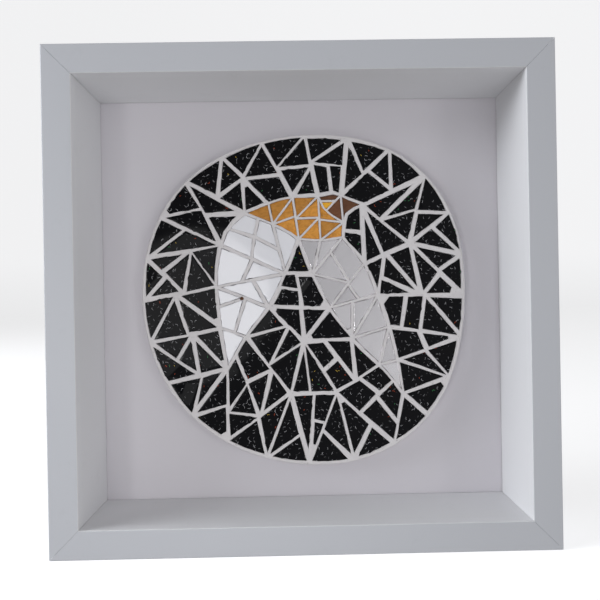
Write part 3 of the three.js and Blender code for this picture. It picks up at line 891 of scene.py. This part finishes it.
class MOSAIC_OT_disc(bpy.types.Operator):
    """Make the sawn disc under the mosaic"""

    bl_idname = "mosaic.disc"
    bl_label = "Disc"
    bl_options = {"REGISTER", "UNDO"}

    def execute(self, context):
        sizes = context.scene.panel_disc
        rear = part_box("black_mosaic")[1].y
        top = disc_face()
        disc = copy_of_node("black_mosaic", "sawn_disc")
        with editing(disc, "VERT"):
            # The shards come off, then the face that they stood on, which is filled again in one.
            pick(disc, "verts", lambda corner: corner.co.y < top - SLACK)
            bpy.ops.mesh.delete(type="VERT")
            pick(disc, "faces", lambda face: abs(face.normal.y) > 0.9 and place_of(face).y < rear - MM)
            bpy.ops.mesh.delete(type="FACE")
            pick(disc, "edges", lambda edge: edge.is_wire)
            bpy.ops.mesh.delete(type="EDGE")
            bpy.ops.mesh.select_all(action="SELECT")
            bpy.ops.mesh.delete_loose()
            bpy.ops.mesh.select_all(action="SELECT")
            bpy.ops.mesh.fill_holes(sides=0)
        bevel_edges(disc, is_sharp, sizes.edge_round, 2)
        smooth(disc)
        finished(disc, sawn_wood_finish(sizes.dark, sizes.pale), "hardboard")
        return {"FINISHED"}


class MOSAIC_OT_black_shards(bpy.types.Operator):
    """Make the black glitter shards"""

    bl_idname = "mosaic.black_shards"
    bl_label = "Black shards"
    bl_options = {"REGISTER", "UNDO"}

    def execute(self, context):
        glass = context.scene.panel_glass
        top = disc_face()
        shards = copy_of_node("black_mosaic", "black_shards")
        with editing(shards, "FACE"):
            # The disc comes off, and each shard is closed where it stood on it.
            pick(shards, "faces", lambda face: all(corner.co.y > top - SLACK for corner in face.verts))
            bpy.ops.mesh.delete(type="FACE")
            bpy.ops.mesh.select_all(action="SELECT")
            bpy.ops.mesh.fill_holes(sides=0)
        roughen(shards, glass, glass.seed)
        lean(shards, glass)
        smooth(shards)
        finished(shards, glitter_finish(glass.black, glass.fleck), "black_glass", "black_mosaic")
        return {"FINISHED"}


class MOSAIC_OT_coloured_shards(bpy.types.Operator):
    """Make the shards of the bird"""

    bl_idname = "mosaic.coloured_shards"
    bl_label = "Coloured shards"
    bl_options = {"REGISTER", "UNDO"}

    def execute(self, context):
        glass = context.scene.panel_glass
        finishes = {
            "white": [opal_finish("opal glass", glass.white)],
            # The mirror's four shades are painted reflection: shards a little lighter and darker, as if
            # mirroring brighter and darker surroundings.
            "mirror": self.sheets(mirror_finish, "mirror glass", glass.mirror, (1.0, 0.92, 0.97, 0.87)),
            "gold": self.sheets(streaky_finish, "gold glass", glass.gold, (1.0, 0.8, 1.12)),
            "brown": self.sheets(streaky_finish, "brown glass", glass.brown, (1.0, 0.75)),
            "amber": [streaky_finish("amber glass", glass.amber)],
        }
        nodes = sorted(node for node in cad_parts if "_shard_" in node)
        for index, node in enumerate(nodes):
            kind = node.split("_")[0]
            shard = copy_of_node(node, node.replace("shard", "glass"))
            roughen(shard, glass, glass.seed + index)
            lean(shard, glass)
            smooth(shard)
            sheets = finishes[kind]
            finished(shard, sheets[index % len(sheets)], f"{kind}_glass", node)
        return {"FINISHED"}

    @staticmethod
    def sheets(finish, name, tone, shades):
        """One finish for each shade that shards of one colour take: sheets of glass for gold and brown, and
        painted reflection for the mirror.
        """
        return [
            finish(f"{name} {number}", shaded(tone, shade))
            for number, shade in enumerate(shades, 1)
        ]


class MOSAIC_OT_grout(bpy.types.Operator):
    """Make the grout between the shards"""

    bl_idname = "mosaic.grout"
    bl_label = "Grout"
    bl_options = {"REGISTER", "UNDO"}

    def execute(self, context):
        sizes = context.scene.panel_grout
        grout = copy_of_node("grout", "grout_bed")
        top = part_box("grout")[0].y

        def is_socket(face):
            return abs(face.normal.y) < 0.1 and min(corner.co.y for corner in face.verts) < top + HAIR

        def is_lip(edge):
            in_front = all_at(edge, lambda co: near(co.y, top))
            return in_front and any(is_socket(face) for face in edge.link_faces)

        with editing(grout):
            # The sockets close up to the glass.
            pick(grout, "faces", is_socket)
            bpy.ops.transform.shrink_fatten(value=sizes.reach, use_even_offset=True)
            halve_long(grout, is_lip, sizes.step)
        bevel_edges(grout, is_lip, sizes.bevel, 2)
        self.ruffle(grout, top, sizes)
        smooth(grout, 50)
        cement = grout_finish(sizes.colour, sizes.grain, sizes.crumb, sizes.crumb_size)
        finished(grout, cement, "grout", "grout")
        return {"FINISHED"}

    @staticmethod
    def ruffle(grout, top, sizes):
        """Pushes the grout's face about a little, as wiping it leaves it."""
        front = grout.vertex_groups.new(name="front")
        face = [corner.index for corner in grout.data.vertices if corner.co.y < top + sizes.bevel + HAIR]
        front.add(face, 1.0, "REPLACE")
        bumps = bpy.data.textures.new("bumps", "CLOUDS")
        bumps.cloud_type = "COLOR"
        bumps.noise_scale = sizes.step
        use(
            grout,
            "DISPLACE",
            texture=bumps,
            texture_coords="LOCAL",
            direction="RGB_TO_XYZ",
            strength=sizes.ragged,
            vertex_group="front",
        )
        bpy.data.textures.remove(bumps)
        grout.vertex_groups.clear()


# Each lamp's place, what it shines at, its size across, its tint, and whether glass mirrors it.
LAMPS = {
    "window": ((-1.55, -0.45, 0.75), MIDDLE, 0.8, DAYLIGHT, True),
    "pane": ((-1.5, -0.22, 0.5), MIDDLE, 0.4, DAYLIGHT, True),
    "table": ((-0.3, -0.5, 0.05), MIDDLE, 0.1, PURE_WHITE, True),
    "ground": ((-0.04, -0.2, 0.02), (0, 0, 0.02), 0.06, PURE_WHITE, False),
    "front": ((-0.145, -0.42, 0.12), (-0.02, 0, 0.12), 0.22, PURE_WHITE, True),
    "room": ((1.0, -1.0, 0.15), MIDDLE, 0.3, PURE_WHITE, True),
}


class MOSAIC_OT_stage(bpy.types.Operator):
    """Make the floor, the lights and the camera"""

    bl_idname = "mosaic.stage"
    bl_label = "Stage"
    bl_options = {"REGISTER", "UNDO"}

    def execute(self, context):
        scene = context.scene
        stage = scene.panel_stage
        self.sweep(stage)
        self.sky(scene, stage)
        for name, lamp in LAMPS.items():
            self.light(name, getattr(stage, name), *lamp)
        camera = bpy.data.cameras.new("camera")
        camera.lens = stage.lens
        camera.sensor_width = 36
        camera.clip_start = 10 * MM
        holder = bpy.data.objects.new("camera", camera)
        holder.location = stage.camera_place
        holder.rotation_euler = stage.camera_turn
        scene.collection.objects.link(holder)
        scene.camera = holder
        scene.view_settings.view_transform = "Standard"
        return {"FINISHED"}

    @staticmethod
    def sweep(stage):
        """A pale floor that curves up into a backdrop."""
        leave_all()
        bpy.ops.mesh.primitive_plane_add(size=1)
        floor = named("floor")
        floor.location = (0, stage.backdrop - stage.floor_depth / 2, 0)
        floor.scale = (stage.floor_width, stage.floor_depth, 1)
        bpy.ops.object.transform_apply(location=True, rotation=True, scale=True)
        rear = stage.backdrop
        with editing(floor, "EDGE"):
            pick(floor, "edges", lambda edge: all_at(edge, lambda co: near(co.y, rear)))
            bpy.ops.mesh.extrude_region_move(
                TRANSFORM_OT_translate={"value": (0, 0, stage.backdrop_height)}
            )
            pick(floor, "edges", lambda edge: all_at(edge, lambda co: near(co.y, rear) and near(co.z, 0)))
            bpy.ops.mesh.bevel(offset=stage.bend, segments=16)
        smooth(floor, 60)
        finish = Finish("floor")
        clouds = finish.noise(0.4, 2.0)
        shade = finish.mix(clouds * 0.1, stage.floor, shaded(stage.floor, 0.96))
        floor.data.materials.append(
            finish.shader(
                Base_Color=shade,
                Roughness=0.9,
                Emission_Color=(*PURE_WHITE, 1),
                Emission_Strength=stage.glow,
            )
        )
        floor.visible_diffuse = False
        floor.visible_glossy = False

    @staticmethod
    def sky(scene, stage):
        """Soft light that is stronger from one side, behind a white ground."""
        world = bpy.data.worlds.new("soft light")
        world.use_nodes = True
        scene.world = world
        sky = Nodes(world.node_tree)
        right, _, up = sky.split(sky.add("ShaderNodeTexCoord", output="Generated"))
        strength = stage.sky + stage.sky_right * right - stage.sky_low * up
        soft = sky.add("ShaderNodeBackground", None, {"Color": (*SKYLIGHT, 1), "Strength": strength})
        white = sky.add("ShaderNodeBackground", None, {"Color": (*PURE_WHITE, 1)})
        seen = sky.add("ShaderNodeLightPath", output="Is Camera Ray")
        both = sky.add("ShaderNodeMixShader", None, {0: seen, 1: soft, 2: white})
        sky.add("ShaderNodeOutputWorld", None, {"Surface": both}, None)

    @staticmethod
    def light(name, strength, where, target, size, tint, mirrored):
        """A round lamp that the camera doesn't see."""
        lamp = bpy.data.lights.new(name, "AREA")
        lamp.shape = "DISK"
        lamp.size = size
        lamp.energy = strength
        lamp.color = tint
        holder = bpy.data.objects.new(name, lamp)
        holder.location = Vector(where)
        holder.rotation_euler = (Vector(target) - holder.location).to_track_quat("-Z", "Y").to_euler()
        holder.visible_camera = False
        holder.visible_glossy = mirrored
        bpy.context.scene.collection.objects.link(holder)


OPERATORS = (
    MOSAIC_OT_rails,
    MOSAIC_OT_spacers,
    MOSAIC_OT_card,
    MOSAIC_OT_back,
    MOSAIC_OT_disc,
    MOSAIC_OT_black_shards,
    MOSAIC_OT_coloured_shards,
    MOSAIC_OT_grout,
    MOSAIC_OT_stage,
)


class MOSAIC_PT_pieces(bpy.types.Panel):
    """Lists the pieces of the panel in the order in which they are made"""

    bl_label = "Mosaic panel"
    bl_space_type = "VIEW_3D"
    bl_region_type = "UI"
    bl_category = "Mosaic"

    def draw(self, context):
        for operator in OPERATORS:
            self.layout.operator(operator.bl_idname)


def register():
    for name, group in SETTINGS.items():
        bpy.utils.register_class(group)
        setattr(bpy.types.Scene, name, PointerProperty(type=group))
    for one in (*OPERATORS, MOSAIC_PT_pieces):
        bpy.utils.register_class(one)


def unregister():
    for one in (MOSAIC_PT_pieces, *reversed(OPERATORS)):
        bpy.utils.unregister_class(one)
    for name, group in reversed(SETTINGS.items()):
        delattr(bpy.types.Scene, name)
        bpy.utils.unregister_class(group)


def main():
    """Makes every piece in order."""
    register()
    for operator in OPERATORS:
        group, name = operator.bl_idname.split(".")
        getattr(getattr(bpy.ops, group), name)()


if __name__ == "__main__":
    main()
